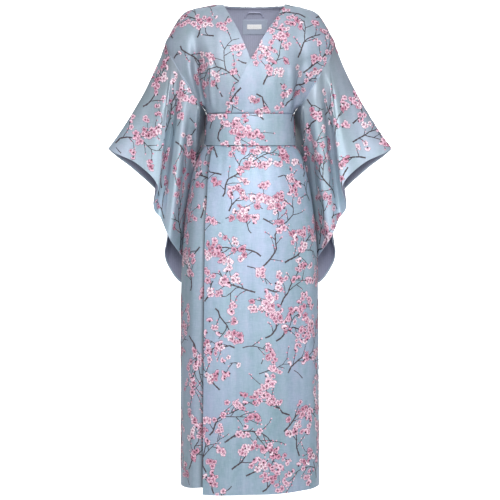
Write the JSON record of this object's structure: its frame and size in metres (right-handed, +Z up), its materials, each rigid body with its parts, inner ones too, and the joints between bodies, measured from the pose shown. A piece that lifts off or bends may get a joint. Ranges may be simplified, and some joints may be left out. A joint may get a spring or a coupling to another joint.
{
  "type": "kimono robe",
  "caption": "Long wrap robe of kimono cut in flower-patterned satin, with wide lined sleeves and a stiffened sash, holding its worn shape with nobody in it.",
  "frame": {"origin": "the middle between the shoulders, at the height of the neck points, where the wearer's shoulders carry the robe", "axes": "+Z up, along the robe's length; the front faces -Y; +X is the wearer's left"},
  "size_m": [0.842, 0.2868, 1.4366],
  "materials": {
    "satin": "pale blue satin jacquard with woven pink blossom sprays",
    "sash_satin": "the same satin over a stiffener",
    "lining": "slate blue lining with fine stripes",
    "patch": "plain grey-blue tape and patch",
    "label": "plain white woven label"
  },
  "bodies": {
    "root": {"back": "satin", "front_right": "satin", "front_left": "satin", "back_lining": "lining", "sleeve_right": "satin", "sleeve_right_lining": "lining", "sleeve_left": "satin", "sleeve_left_lining": "lining", "sash": "sash_satin", "neck_patch": "patch", "neck_label": "label", "hanger_loop": "patch"}
  },
  "joints": []
}
